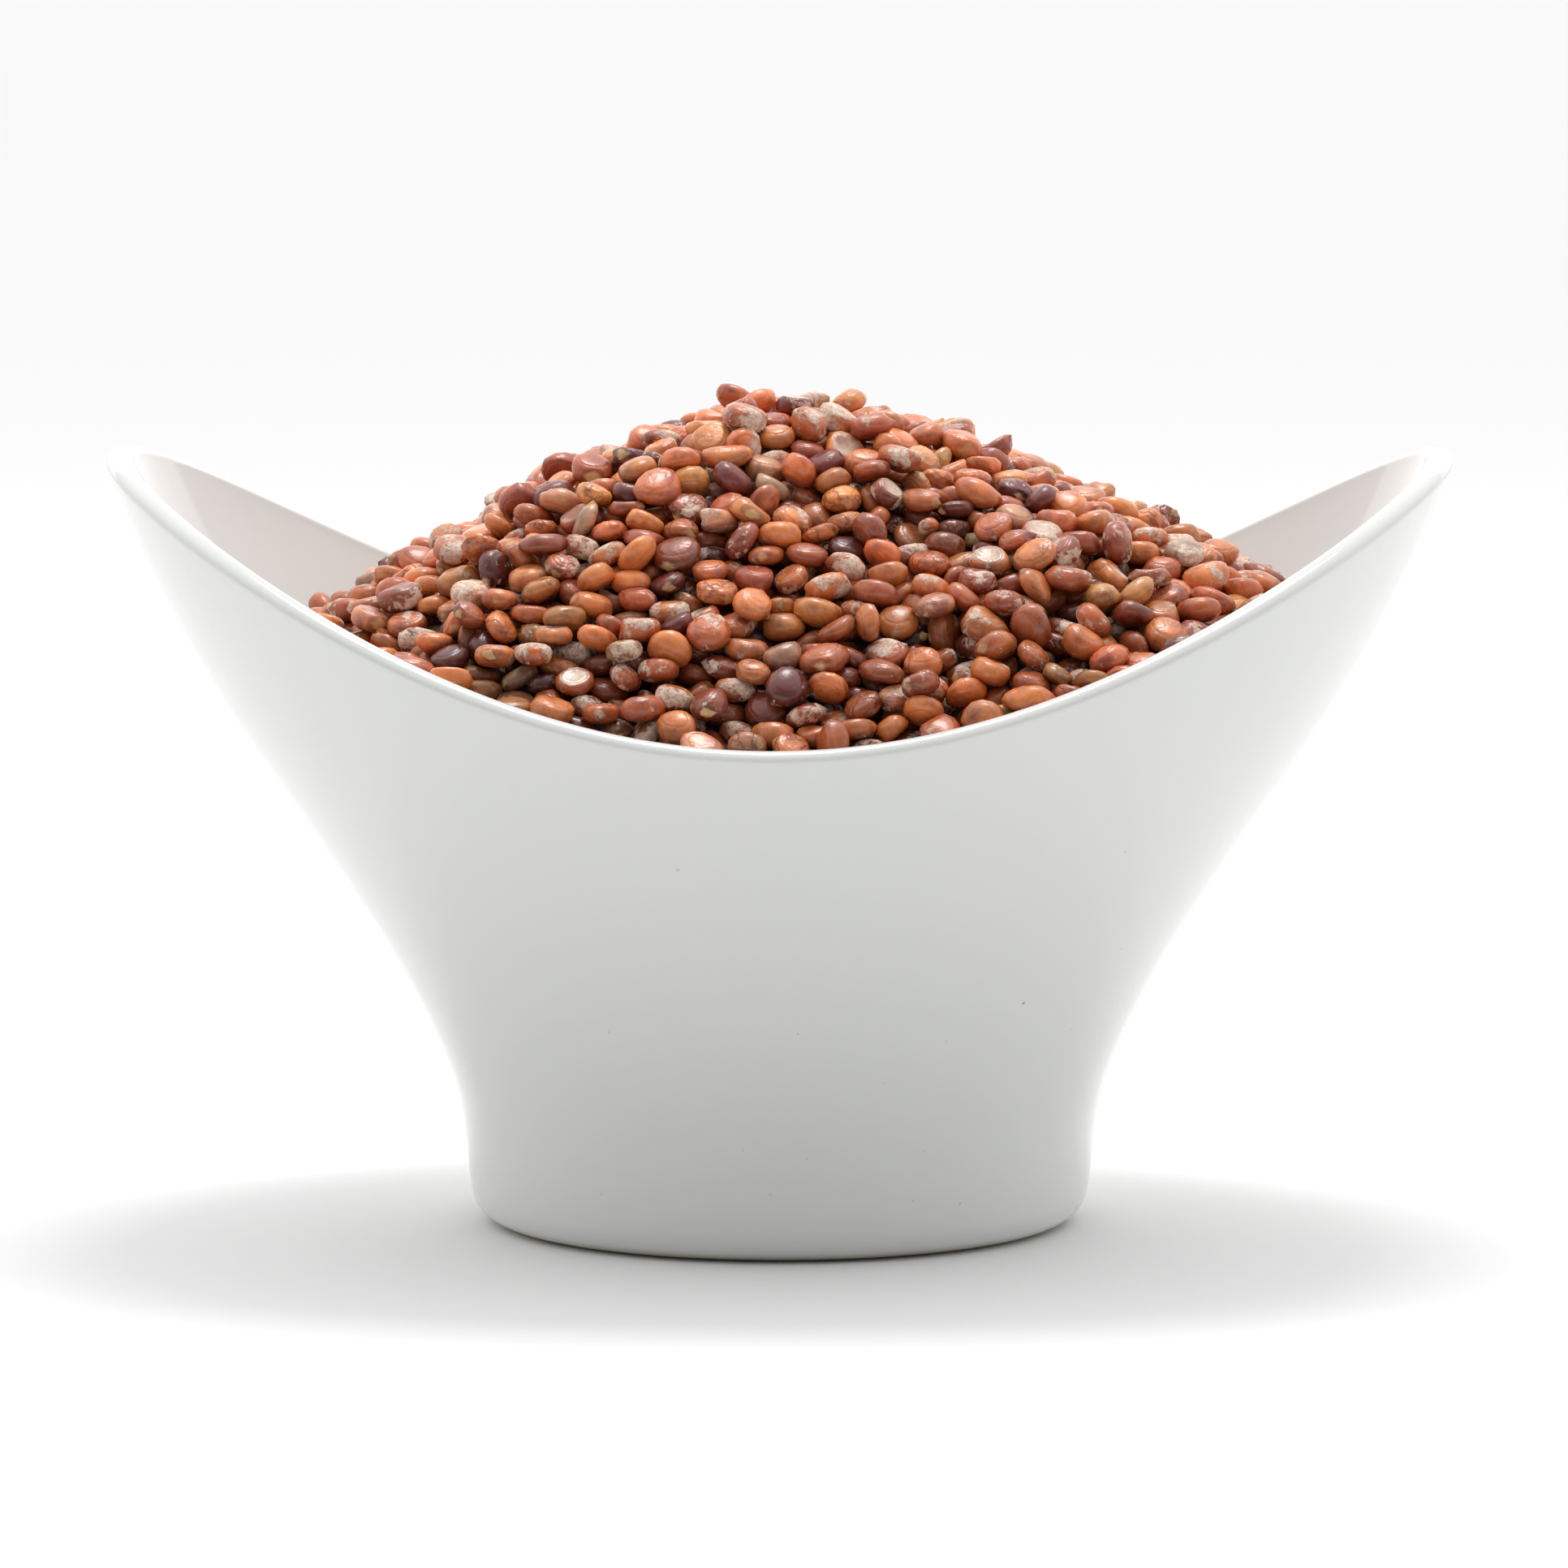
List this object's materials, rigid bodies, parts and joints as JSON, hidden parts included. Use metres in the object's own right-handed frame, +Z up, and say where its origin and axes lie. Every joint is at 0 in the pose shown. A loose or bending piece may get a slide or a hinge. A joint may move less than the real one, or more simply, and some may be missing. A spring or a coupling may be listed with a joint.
{
  "type": "bowl of quinoa",
  "caption": "Small white glazed bowl with two raised ends and a plain round foot, heaped with dry red quinoa grains above its low sides.",
  "frame": {"origin": "centre of the bounding box's bottom, on the axis of the turned bowl, at the level of the foot", "axes": "+X along the bowl's length, from one raised end to the other; +Y across, away from the pictured side; +Z up"},
  "size_m": [0.0778, 0.0642, 0.0489],
  "materials": {
    "white glaze": "gloss",
    "red quinoa": "satin"
  },
  "bodies": {
    "root": {"bowl": "white glaze", "quinoa": "red quinoa"}
  },
  "joints": []
}
